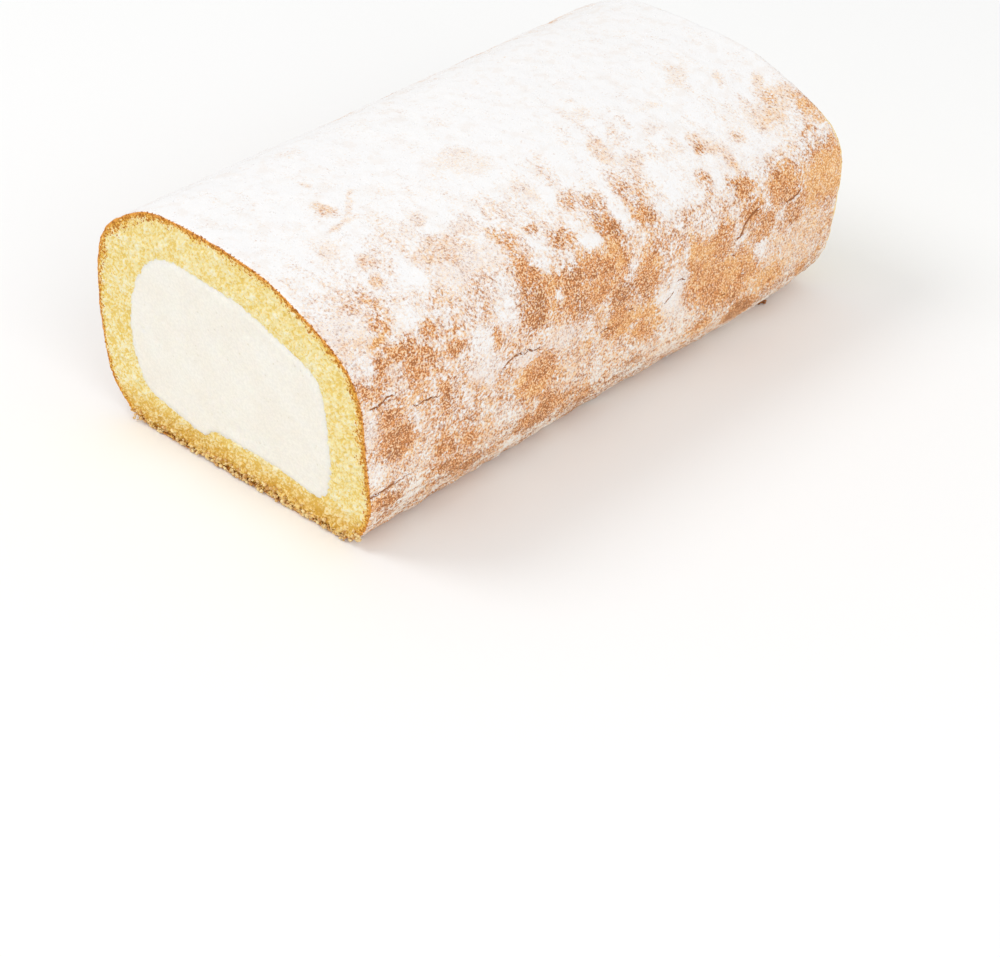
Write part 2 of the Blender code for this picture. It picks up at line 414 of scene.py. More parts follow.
# painted shade and warm bounced light: towards the table the crumb is painted darker and more orange
warm_shade_share = stretch(tree, above_table, 0.001, 0.014, 0.74, 0.0)
colour = mixed(tree, warm_shade_share, colour, CRUMB_WARM_SHADE, "MULTIPLY")
# painted shade: near the table the hollows between the lumps are painted dark brown, in part also the
# browned skin showing at the foot
gaps = stretch(tree, heaped, 0.15, -0.75, 0.0, 1.0)
low_down = stretch(tree, above_table, 0.0009, 0.0036, 1.0, 0.0)
low_down = maths(tree, "MAXIMUM", low_down, stretch(tree, above_table, 0.002, 0.012, 0.26, 0.0))
gaps = maths(tree, "MULTIPLY", gaps, low_down)
colour = mixed(tree, gaps, colour, CRUMB_GAP_SHADE)
# under the skin it is orange, and dotted with browned grains, over a band of uneven width
uneven = stretch(tree, speckle(tree, 0.0050, 2.0, 0.5, 1.9), 0.38, 0.62, 0.5, 1.5, False)
band = maths(tree, "MULTIPLY", attribute(tree, "band"), uneven)
inward = maths(tree, "DIVIDE", maths(tree, "SUBTRACT", attribute(tree, "below_skin"), SKIN), band)
grain = maths(tree, "SUBTRACT", speckle(tree, 0.00065, 1.5, 0.6, 0.9), 0.5)
orange = stretch(tree, maths(tree, "MULTIPLY_ADD", grain, -4.0, inward), 0.3, 1.2, 0.95, 0.0)
colour = mixed(tree, orange, colour, CRUMB_GOLDEN)
dotted = maths(tree, "MULTIPLY_ADD", inward, -0.11, maths(tree, "ADD", grain, 0.03))
colour = mixed(tree, stretch(tree, dotted, -0.01, 0.04, 0.0, 0.9), colour, CRUMB_BROWNED)
soaked = stretch(tree, attribute(tree, "above_cream"), -0.0004, 0.0010, 0.6, 0.0)
colour = mixed(tree, soaked, colour, CRUMB_SOAKED)
tree.links.new(colour, shader.inputs["Base Color"])
bump(tree, shader, speckle(tree, 0.0005, 3.0, 0.65, 1.4), 0.0004, 1.0)

band = np.interp(rounds * ROUND_LENGTH * 1000, *zip(*BROWNED_BAND)) + relief * 0
facts = {"relief": relief, "below_skin": below_skin, "above_cream": above_cream, "band": band}
shape, _ = rolled_grid(crumb, facts)
sponge = finished("sponge_sheet", shape)
sponge.data.materials.append(sponge_look)
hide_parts("sponge")

# ----------------------------------------
# The crust: the browned skin on the outer face of the sheet, from caramel to brown, with powdered
# sugar sifted over it. The sugar lies thick on top, is rubbed off in patches on the sides, and
# the skin has cracked here and there where it was bent. It is a thin shell, closed at the cuts.
CRUST_THICKNESS = 0.0009
CRUST_STEP = 0.00075
UNDERSIDE_STEP = 0.0016
UNDERSIDE_ENDS = (0.046, 0.276)  # round the roll from the seam: where the underside stops
CRUST_EDGE = 0.00018  # the skin's cut edge stands back a little from the crumb

# How much sugar lies on the crust, by the distance round from the seam in millimetres:
# 0 none, 0.5 half covered, over 1 a solid white layer.
# Under the roll, up to the table, the crust is left almost bare and brown: partly its own underside, partly
# painted contact shadow.
SUGAR_ROUND = (
    (0, 0.12), (50, 0.12), (57, 0.42), (66, 0.60), (74, 0.58), (84, 0.60), (98, 0.60), (106, 0.64),
    (114, 0.72), (124, 0.84), (136, 0.95), (150, 1.03), (190, 1.05), (202, 0.92), (214, 0.72),
    (226, 0.62), (256, 0.58), (264, 0.44), (272, 0.12), (295, 0.12),
)  # fmt: skip

# Patches of the crust, in millimetres: along from the near cut, round from the seam, half size
# along, half size round, lean in degrees, the sugar on it, and how dark it is baked. First the
# thin films of sugar ...
SUGAR_FILMS = (
    (160, 84, 16, 8, 0, 0.53, 0.30), (66, 92, 6, 3.5, 0, 0.71, 0.5), (110, 86, 7, 7, 0, 0.84, 0.4),
    (4, 120, 8, 5, 0, 0.78, 0.4), (47, 122, 10, 4, 0, 0.78, 0.5), (2, 94, 2.5, 5, 0, 0.73, 0.5),
    (12, 107, 2.5, 3, 0, 0.60, 0.5), (39, 74, 4, 2.5, 0, 0.60, 0.4), (98, 76, 4, 2.5, 0, 0.58, 0.4),
    (138, 119, 21, 6, 0, 0.92, 0.4), (157, 122, 6, 4, 0, 0.76, 0.3), (52, 92, 4, 3, 0, 0.74, 0.5),
    (104, 72, 8, 3, 0, 0.60, 0.3), (40, 95, 6, 5, 0, 0.78, 0.5), (71, 82, 5, 5, 0, 0.54, 0.3),
    (30, 153.5, 2.2, 3.5, 10, 0.58, 0.25), (28, 146, 5, 1.2, 8, 0.70, 0.3),
    (36, 151.5, 7, 0.8, 40, 0.74, 0.3), (34.5, 165, 1.5, 2, 0, 0.74, 0.3),
    (70, 150, 7, 6, 0, 0.80, 0.15), (71, 145, 5, 4, 0, 0.84, 0.2), (24.5, 133, 3, 3, 0, 0.60, 0.3),
    (44.5, 138, 3, 2.5, 0, 0.72, 0.3), (37, 127, 4, 3, 0, 0.60, 0.4), (44, 128, 5, 4, 0, 0.60, 0.3),
    (22, 127.5, 2, 1.6, 0, 0.54, 0.3), (76, 131, 3, 4, 0, 0.76, 0.3), (19, 140, 5, 2, 45, 0.76, 0.2),
    (53, 131, 3, 2, 0, 0.72, 0.2), (5, 115, 5, 3, 0, 0.62, 0.3), (110, 146, 5, 3, 0, 0.82, 0.2),
    (147, 145, 9, 2.6, 25, 0.81, 0.0), (157.5, 139, 4, 1.5, 50, 0.76, 0.0),
    (130, 139.5, 7, 1.8, 0, 0.84, 0.1), (124, 133, 4, 2, 0, 0.78, 0.4),
    (104.5, 133, 4, 4.5, 0, 0.66, 0.3), (110, 126, 4, 3, 0, 0.64, 0.4),
    (134.5, 121.5, 4.5, 2.5, -20, 0.62, 0.2), (132.5, 126, 2.5, 1.8, 0, 0.62, 0.1),
    (137, 116, 2, 2.5, 0, 0.60, 0.3), (161, 122, 7, 3, 20, 0.64, 0.2),
    (166, 131, 5, 2.5, 50, 0.68, 0.2), (173.5, 119, 3, 5, 0, 0.32, 0.05),
    (170, 126, 4, 3, 0, 0.66, 0.1),
)  # fmt: skip

# ... then the places where it has come off ...
BARE_PATCHES = (
    (31, 88, 8, 6, 0, 0.40, 0.5), (98, 104, 12, 5, 0, 0.52, 0.5), (50, 100, 8, 4, 0, 0.60, 0.5),
    (13, 115.5, 4, 1.0, 22, -0.15, 0.3), (14, 119, 2.5, 1.5, 0, 0.40, 0.5),
    (17, 123.5, 2.5, 2, 0, 0.54, 0.4), (5, 106, 4.5, 3, 0, 0.10, 0.7), (8.5, 110, 2, 2, 0, 0.12, 0.8),
    (15, 110.5, 3.5, 2, 0, 0.04, 0.6), (18, 105, 3, 7, 0, 0.12, 0.6), (23, 106, 2, 2.5, 0, 0.16, 0.6),
    (26, 112, 2, 2.5, 0, 0.24, 0.5), (32, 109, 2, 1, 0, 0.24, 0.5), (31, 104.5, 3.5, 2, 0, 0.10, 0.9),
    (43, 102, 1.2, 3, 0, 0.2, 0.6), (59, 112, 3, 5, 0, 0.12, 0.7), (57, 104, 4.5, 5, 0, 0.14, 0.7),
    (59.5, 103, 2, 5, 0, 0.08, 1.1), (60, 122, 3, 4, 0, 0.46, 0.5), (9, 95, 2.5, 2.5, 0, 0.12, 0.6),
    (10, 88, 5, 5, 0, -0.04, 1.0), (12, 85, 4, 2.5, 0, 0.0, 0.8), (26, 94, 2, 5, 0, 0.08, 0.6),
    (57, 84, 7, 5.5, 0, -0.10, 0.45), (56, 71, 6, 3, 0, -0.04, 0.4), (61, 74, 3, 4, 0, -0.04, 0.45),
    (25, 79, 3, 4, 0, 0.06, 0.5), (33, 77, 4, 2.5, 0, 0.06, 0.5), (5, 72, 5, 2, 0, 0.04, 0.6),
    (27, 72, 4, 2, 0, 0.04, 0.6), (33, 68, 5, 3, 0, 0.04, 0.6), (64, 108, 4, 2, 0, 0.12, 0.7),
    (68, 122, 2, 1.5, 0, 0.44, 0.5), (74, 116, 4, 3, 0, 0.42, 0.6), (84, 125, 3.5, 2.5, 25, 0.50, 0.5),
    (91, 121, 3.5, 3, 0, 0.46, 0.5), (89, 114, 4, 4, 0, 0.16, 0.8), (76, 103, 13, 7, 0, 0.12, 0.50),
    (79, 106, 4, 3, 0, 0.08, 0.8), (87, 107, 3, 4, 0, -0.06, 0.15), (101.3, 119, 4.2, 8, 0, 0.54, 0.45),
    (101, 112.5, 3, 2, 0, 0.04, 0.5), (88, 87, 5.5, 5, 0, -0.06, 0.5), (97, 83, 6, 5, 0, 0.08, 0.2),
    (97, 97, 4.5, 7, 0, 0.08, 0.5), (88, 95, 4, 4, 0, 0.10, 0.9), (116.5, 94, 3.5, 9, 0, 0.04, 0.3),
    (68, 73.5, 3.5, 1.5, 0, 0.10, 0.6), (75, 70, 3, 3, 0, 0.14, 0.5), (67, 70, 1.5, 2, 0, 0.08, 0.6),
    (131, 122, 2.2, 2, 0, 0.42, 0.5), (125, 115, 2, 2, 0, 0.40, 0.5), (145, 121, 2.5, 2, 0, 0.74, 0.3),
    (165, 127, 3, 2, 45, 0.50, 0.4), (167, 112, 3, 2, 0, 0.26, 0.5), (135, 109, 4, 3, 0, 0.06, 0.6),
    (151, 104, 6, 4.5, 0, -0.04, 0.5), (168, 100, 9, 8, 0, -0.02, 0.05), (137, 101, 4, 3, 0, 0.04, 0.8),
    (143, 95, 4, 4, 0, 0.02, 0.5), (156, 95, 4, 4, 0, 0.14, 0.7), (125, 97, 4, 5, 0, 0.04, 0.8),
    (120, 93, 5, 6, 0, 0.02, 0.3), (128, 85, 13, 7, 0, -0.06, 0.3), (137, 72, 6, 3.5, 0, -0.50, 0.7),
    (120, 73, 4, 2, 0, 0.10, 0.5), (147, 78, 6, 3, 0, 0.08, 0.2), (163, 74, 3, 2, 0, 0.04, 0.5),
)  # fmt: skip

# ... and last the drifts where it lies thick or has been pressed on.
SUGAR_DRIFTS = (
    (4, 110.5, 3.5, 4, 0, 0.82, 0.5), (22, 116.5, 4.5, 3.5, 0, 0.90, 0.5),
    (16.5, 113.2, 2.5, 1, 0, 0.80, 0.5), (33, 114, 2, 2, 0, 0.84, 0.5),
    (38.5, 103, 3.5, 4, 0, 0.80, 0.5), (48, 107.5, 3.5, 4, 0, 0.84, 0.5),
    (49.5, 113, 2.5, 2, 0, 0.84, 0.5), (43, 96, 4, 3.5, 0, 0.76, 0.5),
    (31.5, 101.5, 1.7, 1.2, 0, 0.80, 0.5), (22, 97, 0.9, 2.2, 0, 0.75, 0.5),
    (26, 98.5, 1.2, 1.4, 0, 0.75, 0.5), (33.5, 89, 1.7, 3.5, 0, 0.70, 0.5),
    (17, 90, 1.2, 2.4, 0, 0.78, 0.5), (3, 81, 4, 3.5, 0, 0.80, 0.5), (16, 82, 3, 2, 0, 0.62, 0.5),
    (46, 77.5, 5, 3.5, -10, 0.80, 0.5), (42, 85, 1.2, 1.6, 0, 0.70, 0.5), (30, 124, 5, 5, 0, 0.96, 0.5),
    (66, 104.5, 1.4, 2.3, 0, 0.80, 0.5), (72.5, 112.5, 1.6, 1.6, 0, 0.84, 0.5),
    (81, 113, 3.2, 1.5, -20, 0.96, 0.5), (66, 117.5, 2, 1.5, 0, 0.90, 0.5),
    (64, 113, 2, 2, 0, 0.88, 0.5), (95, 118, 2, 9, 0, 0.90, 0.5), (92.5, 103.5, 2, 4.5, -25, 0.74, 0.5),
    (96, 108, 2, 1.5, 0, 0.74, 0.5), (105, 96, 2, 7, 0, 0.60, 0.5), (80, 76, 2.2, 2.2, 0, 0.74, 0.5),
    (82.5, 82, 1.6, 1.2, 0, 0.70, 0.5), (93, 83, 1.4, 1.6, 0, 0.66, 0.5),
    (114, 118, 4.5, 7, 15, 0.99, 0.5), (119, 113, 3.5, 4.5, 0, 0.92, 0.5),
    (109, 113, 2.5, 3, 0, 0.88, 0.5), (117, 104, 2.5, 3, 0, 0.78, 0.5),
    (110, 107, 1.6, 2.2, 0, 0.80, 0.5), (120.5, 103, 4, 3.5, 0, 0.72, 0.5),
    (131, 99.5, 1.2, 3, 0, 0.74, 0.5), (130.5, 108, 2, 2, 0, 0.80, 0.5),
    (142.5, 88, 2.6, 3.0, 0, 0.82, 0.5), (127, 73.5, 2.6, 1.6, 0, 0.70, 0.5),
    (143, 111, 4, 1.6, 0, 0.84, 0.5), (159, 115, 3.2, 3, 0, 0.84, 0.5),
    (168, 110, 3.5, 3, 0, 0.76, 0.5),
)  # fmt: skip

# The other long side is worn in the same way: it has the same patches, turned end for end.
SIDES_SUM = 324  # millimetres round to a place on one side and to its twin on the other
WORN_SIDE = 126  # only what is nearer than this belongs to the side
patches_all = []
for patches, even in ((SUGAR_FILMS, 1.0), (BARE_PATCHES, 0.0), (SUGAR_DRIFTS, 0.0)):
    patches_all += [patch + (even,) for patch in patches]
    for x, s, *rest in patches:
        if s < WORN_SIDE:
            patches_all.append((FOOT_LENGTH * 1000 - x, SIDES_SUM - s, *rest, even))

# Cracks: (deepest half width, then along and round of each point), in millimetres.
CRACKS = (
    (0.30, (2.5, 100.6), (5, 100.3), (7, 100.7), (8.5, 101.5), (10, 101.6)),
    (0.28, (15.5, 95.7), (17.5, 95), (19, 95.7), (20, 95.2), (21.5, 95.2), (24, 94.2)),
    (0.34, (44.5, 91.3), (46, 92.5), (48, 93.8), (51, 94.2), (52, 93.4), (54, 93.9), (55.5, 92.9),
     (58, 92.7)),
    (0.24, (80.6, 86.3), (82.4, 86.8), (84.2, 86.4)),
    (0.22, (91, 89.2), (93, 88.8)),
    (0.28, (105, 85.7), (107, 87), (109, 88.6)),
    (0.26, (109.5, 90.8), (111, 90.8), (112.5, 90.3)),
    (0.48, (131.7, 95.3), (133.5, 96), (134, 98.5), (135.5, 99.5), (137, 100.5), (138.5, 100.8),
     (140, 101.2)),
    (0.40, (151.3, 99.2), (154, 98.9), (156, 99.8), (157.5, 100.4)),
    (0.22, (130.8, 90.5), (132, 90.2)),
    (0.24, (127, 80), (129, 79.6)),
    (0.26, (44, 246), (49, 247.5), (55, 246.6)),
    (0.36, (96, 240), (101, 241.6), (105, 240.8), (110, 242)),
)
FOOT_FOLD = (0.55, (-1, 75.1), (4, 75.3), (8, 75.6), (10, 76), (14, 76.2), (21, 75.6), (31, 75))


def patch_weight(along, around, patch):
    """1 inside a patch, falling softly to 0 past its edge."""
    x, s, half_x, half_s, lean = patch
    lean = math.radians(lean)
    dx, ds = along - x, around - s
    across = (dx * math.cos(lean) + ds * math.sin(lean)) / half_x
    upward = (-dx * math.sin(lean) + ds * math.cos(lean)) / half_s
    inward = np.clip(1.5 - np.hypot(across, upward), 0, 1)
    return inward * inward * (3 - 2 * inward)


def to_line(along, around, points):
    """The distance to a line through points, and 0 to 1 along it."""
    best = np.full(along.shape, 1e9)
    share = np.zeros(along.shape)
    for i, (a, b) in enumerate(zip(points, points[1:])):
        vx, vs = b[0] - a[0], b[1] - a[1]
        t = np.clip(((along - a[0]) * vx + (around - a[1]) * vs) / (vx * vx + vs * vs), 0, 1)
        away = np.hypot(along - a[0] - vx * t, around - a[1] - vs * t)
        share = np.where(away < best, (i + t) / (len(points) - 1), share)
        best = np.minimum(best, away)
    return best, share


def crust_facts(along, around, points):
    """Sugar, darkness, how rubbed in the sugar is, crack depth and height, at points of the crust."""
    drift_x, drift_s = wobble(points, 0.005, 11), wobble(points, 0.006, 13)
    fine_x, fine_s = wobble(points, 0.0019, 12), wobble(points, 0.0019, 14)
    patch_x, patch_s = along + 1.0 * drift_x + 0.9 * fine_x, around + 1.2 * drift_s + 0.9 * fine_s
    ragged_s = around + 2.8 * drift_s + 1.3 * fine_s
    higher = np.interp(along, (0, 30, 60, 95, 176), (-7, -6, -2, 5, 4)) * np.clip((around - 85) / 30, 0, 1)
    sugar = np.interp(ragged_s + higher, *zip(*SUGAR_ROUND))
    streaks = points * np.array([1.0, 0.45, 0.45])  # finger-like, longer round than along
    mottled = 0.17 * wobble(streaks, 0.0034, 15, 3) + 0.08 * wobble(points, 0.012, 16)
    sugar += mottled
    baked = wobble(points, 0.009, 17, 3)
    tone = 0.45 + 0.5 * baked
    rubbed = np.zeros(along.shape)
    for *place, thick, dark, even in patches_all:
        weight = 0.95 * patch_weight(patch_x, patch_s, place)
        rubbed += (even - rubbed) * weight
        sugar += (thick + (0.6 - 0.25 * even) * mottled - sugar) * weight
        tone += (dark + 0.35 * baked - tone) * weight
    # sugar lies on the fine lengthwise wrinkles where the skin turns under, and not between them
    under = np.interp(around, (40, 52, 68, 80, 240, 256, 272, 284), (0.3, 1, 1, 0, 0, 0.9, 0.9, 0.3))
    lengthwise = np.stack([along / 12, around / 1.5, around * 0], axis=-1)
    at_foot = np.interp(around, (48, 54, 62, 68), (0, 1, 1, 0))
    furrow = under * (1 - np.abs(wobble(lengthwise, 1.0, 21))) ** 3
    # under the roll a little more sugar is laid on; this is painted light, lightening the crust where it
    # lies in shade
    sugar -= 0.50 * furrow - 0.26 * under
    tone += 0.45 * furrow
    height = 0.00025 * wobble(points, 0.013, 18) + 0.00016 * wobble(points, 0.0032, 19)
    layer = np.clip((sugar - 0.35) / 0.6, 0, 1)
    height += layer * (0.00016 + 0.00009 * wobble(points, 0.0017, 20, 3))
    height += 0.00045 * at_foot * wobble(points, 0.006, 27) - 0.00026 * furrow
    crack = np.zeros(along.shape)
    lip = np.zeros(along.shape)
    jitter_x = along + 0.4 * wobble(points, 0.0012, 22)
    jitter_s = around + 0.4 * wobble(points, 0.0012, 23)
    for half, *line in CRACKS:
        away, share = to_line(jitter_x, jitter_s, line)
        open_here = np.sin(np.pi * np.clip(share, 0.04, 0.96))
        crack = np.maximum(crack, np.clip(1.15 - away / (half * (0.6 + 0.5 * open_here)), 0, 1))
        lip = np.maximum(lip, open_here * np.clip(1 - np.abs(away - 0.75) / 0.4, 0, 1))
    away, share = to_line(jitter_x, jitter_s, FOOT_FOLD[1:])
    fold = np.clip(1 - away / FOOT_FOLD[0], 0, 1) * np.clip(1.4 - 1.4 * share, 0, 1)
    height -= 0.0004 * np.maximum(crack, fold) + 0.0003 * np.clip(1 - away / 2.0, 0, 1) * (1 - share)
    height += 0.00022 * lip
    return sugar, tone, rubbed, np.maximum(crack, 0.8 * fold), height


low, high = UNDERSIDE_ENDS
rounds = []
for start, end, step in (
    (BARE_END, low, UNDERSIDE_STEP),
    (low, high, CRUST_STEP),
    (high, ROUND_LENGTH, UNDERSIDE_STEP),
):
    rounds.append(np.linspace(start, end, round((end - start) / step), endpoint=False))
rounds = np.append(np.concatenate(rounds), ROUND_LENGTH - 0.0002) / ROUND_LENGTH
shares = np.linspace(0, 1, round(FOOT_LENGTH / CRUST_STEP))
path = [(0.0, CRUST_THICKNESS * 0.5)] + [(share, 0.0) for share in shares] + [(1.0, CRUST_THICKNESS * 0.5)]
path += [(share, CRUST_THICKNESS) for share in np.linspace(1, 0, 9)] + [(0.0, CRUST_THICKNESS * 0.5)]
skin, skin_depth, _ = sheet_points(rounds, path)
open_seam(skin, rounds)
normals = np.cross(np.gradient(skin, axis=0), np.gradient(skin, axis=1))
normals /= np.linalg.norm(normals, axis=2)[:, :, None]
if normals[len(shares) // 2, len(rounds) // 2, 2] < 0:
    normals = -normals
outside = np.zeros(skin.shape[:2])
outside[1 : 1 + len(shares)] = 1.0
along = np.array([share for share, _ in path])[:, None] * FOOT_LENGTH * 1000 + skin_depth * 0
around = rounds[None, :] * ROUND_LENGTH * 1000 + skin_depth * 0
facts = {"along": along, "around": around, "outside": outside}
facts.update({"normal_" + axis: normals[:, :, k] for k, axis in enumerate("xyz")})
shape, layers = rolled_grid(skin, facts)


def read_layers(*keys):
    return [np.array([vert[layers[key]] for vert in shape.verts]) for key in keys]


# finer faces where the skin has cracked
shape.verts.index_update()
along, around, outside = read_layers("along", "around", "outside")
close = np.full(along.shape, 1e9)
for line in [crack[1:] for crack in CRACKS] + [FOOT_FOLD[1:]]:
    close = np.minimum(close, to_line(along, around, line)[0])
close[outside < 1] = 1e9
torn = [face for face in shape.faces if all(close[vert.index] < 1.4 for vert in face.verts)]
torn_edges = list({edge for face in torn for edge in face.edges})
bmesh.ops.subdivide_edges(shape, edges=torn_edges, cuts=3, use_grid_fill=True)

along, around, outside, *way = read_layers("along", "around", "outside", "normal_x", "normal_y", "normal_z")
way = np.stack(way, axis=1)
way /= np.linalg.norm(way, axis=1)[:, None]
places = np.array([vert.co[:] for vert in shape.verts])
sugar, tone, rubbed, crack, height = crust_facts(along, around, places)
from_end = np.minimum(along, FOOT_LENGTH * 1000 - along)
# the skin's edges at the cuts are worn round, ragged, and stand back from the crumb
worn = 0.00022 * np.clip(1 - from_end / 1.0, 0, 1) ** 2
places += way * ((height - worn) * (outside > 0.5))[:, None]
ends = np.where(along < 0.001, 1.0, np.where(from_end < 0.001, -1.0, 0.0))
places[:, 0] += ends * (CRUST_EDGE + 0.00016 * wobble(places, 0.0011, 24, 3))
places[:, 2] = np.maximum(places[:, 2], 0.00005)
near_width = 0.45 + 0.35 * wobble(places, 0.004, 25)
far_width = (1.4 + 0.7 * wobble(places, 0.005, 26)) * np.clip((120 - around) / 8, 0, 1) + 0.001
edge_width = np.where(along > 88, far_width, near_width)
cut_edge = np.where(outside > 0.999, np.clip(1.6 - 1.6 * from_end / edge_width, 0, 1), 1.0)
cut_edge *= np.where((along > 88) & (outside > 0.5), np.clip((122 - around) / 8, 0, 1), 1.0)
crack *= outside > 0.5
facts = {"sugar": sugar, "tone": tone, "rubbed": rubbed, "crack": crack, "cut_edge": cut_edge}
for name, values in facts.items():
    layer = shape.verts.layers.float.new(name)
    for vert, value in zip(shape.verts, values):
        vert[layer] = value
for vert, place in zip(shape.verts, places):
    vert.co = place
crust = finished("browned_crust", shape)

CRUST_GOLDEN = (0.85, 0.44, 0.165, 1)
CRUST_CARAMEL = (0.72, 0.285, 0.09, 1)
CRUST_BROWN = (0.56, 0.21, 0.065, 1)
CRUST_DARK = (0.36, 0.14, 0.045, 1)
CUT_ORANGE = (0.82, 0.37, 0.07, 1)
CUT_BROWN = (0.36, 0.11, 0.015, 1)
CUT_YELLOW = (0.96, 0.72, 0.32, 1)
SUGAR_THIN = (0.88, 0.775, 0.66, 1)
SUGAR_WHITE = (0.91, 0.915, 0.92, 1)
SUGAR_DULL = (0.885, 0.86, 0.84, 1)
CRUST_WARM_BOUNCE = (1.0, 0.95, 0.78, 1)
GRAIN_PALE = (1.0, 0.84, 0.57, 1)
GRAIN_DARK = (0.36, 0.14, 0.05, 1)
crust_look, tree, shader = surface("sugared_crust", {"Specular IOR Level": 0.25})
grain = speckle(tree, 0.00047, 1.0, 0.5, 3.1)
fine = maths(tree, "SUBTRACT", speckle(tree, 0.0008, 2.0, 0.6, 3.9), 0.5)
clump = maths(tree, "SUBTRACT", speckle(tree, 0.0028, 3.0, 0.6, 4.3), 0.5)
sifted = attribute(tree, "sugar")
layer = maths(tree, "MULTIPLY_ADD", clump, 0.9, maths(tree, "MULTIPLY", fine, 2.5))
uneven = stretch(tree, sifted, 0.35, 0.95, 1.1, 0.35)
uneven = maths(tree, "MULTIPLY_ADD", attribute(tree, "rubbed"), -0.35, uneven)
layer = maths(tree, "MULTIPLY_ADD", layer, maths(tree, "MAXIMUM", uneven, 0.2), sifted)
white = stretch(tree, layer, 0.10, 0.95)
tone = maths(tree, "SUBTRACT", speckle(tree, 0.0026, 3.0, 0.6, 5.2), 0.5)
tone = maths(tree, "MULTIPLY_ADD", tone, 1.8, attribute(tree, "tone"))
brown = mixed(tree, stretch(tree, tone, 0.0, 0.60), CRUST_GOLDEN, CRUST_CARAMEL)
brown = mixed(tree, stretch(tree, tone, 0.60, 1.20), brown, CRUST_BROWN)
tint = mixed(tree, stretch(tree, layer, 0.22, 1.0), SUGAR_THIN, SUGAR_WHITE)
dull = stretch(tree, speckle(tree, 0.0042, 3.0, 0.6, 2.7), 0.50, 0.66, 0.0, 0.85)
tint = mixed(tree, dull, tint, SUGAR_DULL)
flecks = stretch(tree, grain, 0.54, 0.63, 0.0, 0.8)
flecks = maths(tree, "MULTIPLY", flecks, stretch(tree, sifted, 0.7, 1.03, 1.0, 0.15))
tint = mixed(tree, flecks, tint, SUGAR_THIN)
colour = mixed(tree, maths(tree, "MULTIPLY", white, 0.97), brown, tint)
# grains of sugar and of browned crumb show most where the layer between them is thin
bare = maths(tree, "SUBTRACT", 1.0, white)
seen = maths(tree, "POWER", bare, 0.6)
pale_share = maths(tree, "MULTIPLY", stretch(tree, grain, 0.54, 0.62, 0.0, 0.85), seen)
pale_share = maths(tree, "MULTIPLY", pale_share, stretch(tree, tone, 0.7, 1.3, 0.8, 0.5))
colour = mixed(tree, pale_share, colour, GRAIN_PALE)
dark_grain = maths(tree, "MULTIPLY_ADD", stretch(tree, tone, 0.2, 1.2, 0.0, 0.06), -1.0, grain)
dark_share = maths(tree, "MULTIPLY", stretch(tree, dark_grain, 0.47, 0.38, 0.0, 0.95), seen)
dark_share = maths(tree, "MULTIPLY", dark_share, stretch(tree, tone, -0.1, 1.0, 0.5, 1.1))
colour = mixed(tree, dark_share, colour, GRAIN_DARK)
# here and there a dark crumb lies in a thin film of sugar
specks = stretch(tree, speckle(tree, 0.0010, 1.0, 0.5, 6.3), 0.64, 0.70, 0.0, 0.6)
from_film = maths(tree, "ABSOLUTE", maths(tree, "SUBTRACT", sifted, 0.62))
filmed = stretch(tree, from_film, 0.05, 0.30, 1.0, 0.0)
colour = mixed(tree, maths(tree, "MULTIPLY", specks, filmed), colour, GRAIN_DARK)
# painted warm bounce light: near the table the crust is tinted yellower
place = node(tree, "SeparateXYZ", {0: own_place(tree)})
warm_bounce = stretch(tree, place.outputs["Z"], 0.004, 0.034, 0.36, 0.0)
colour = mixed(tree, warm_bounce, colour, CRUST_WARM_BOUNCE, "MULTIPLY")
# its cut edge is orange and brown at the near cut, and yellow at the far one
edge_grain = stretch(tree, speckle(tree, 0.0007, 2.0, 0.7, 7.9), 0.47, 0.62)
edge_colour = mixed(tree, edge_grain, CUT_ORANGE, CUT_BROWN)
far_end = stretch(tree, place.outputs["X"], 0.0, 0.01)
edge_colour = mixed(tree, far_end, edge_colour, CUT_YELLOW)
at_edge = maths(tree, "SUBTRACT", edge_grain, 0.5)
at_edge = maths(tree, "MULTIPLY_ADD", at_edge, 0.5, attribute(tree, "cut_edge"))
colour = mixed(tree, stretch(tree, at_edge, 0.3, 0.7), colour, edge_colour)
colour = mixed(tree, stretch(tree, attribute(tree, "crack"), 0.12, 0.5), colour, CRUST_DARK)
tree.links.new(colour, shader.inputs["Base Color"])
tree.links.new(stretch(tree, white, 0, 1, 0.65, 0.95, False), shader.inputs["Roughness"])
bumpy = maths(tree, "MULTIPLY_ADD", bare, 0.6, 0.4)
relief = maths(tree, "MULTIPLY", maths(tree, "MULTIPLY_ADD", clump, 1.2, grain), bumpy)
bump(tree, shader, relief, 0.00028, 0.9)
crust.data.materials.append(crust_look)

# ----------------------------------------
# The filling: whipped cream that fills the roll from cut to cut, with a tongue pressed down into
# the seam. A knife has smoothed its faces and left tiny bubbles. It is a ring of points that
# closes on a line in the middle of each cut.
CREAM_STEP = 0.0006
CREAM_REACH = 0.0009  # it is pressed into the crumb by this much, so that no gap shows
CREAM_PROUD = 0.00012  # the knife smears its face this far over the crumb ...
CREAM_SUNK = 0.0005  # ... and it runs out under the crumb's lumps, this deep at its rim
CREAM_HEART_Y = 0.014  # half length of the line that the rings close on
FACE_RINGS = 34
CREAM_ROUND_LENGTH = 0.195
cream_rounds = np.linspace(0, 1, round(CREAM_ROUND_LENGTH / CREAM_STEP), endpoint=False)


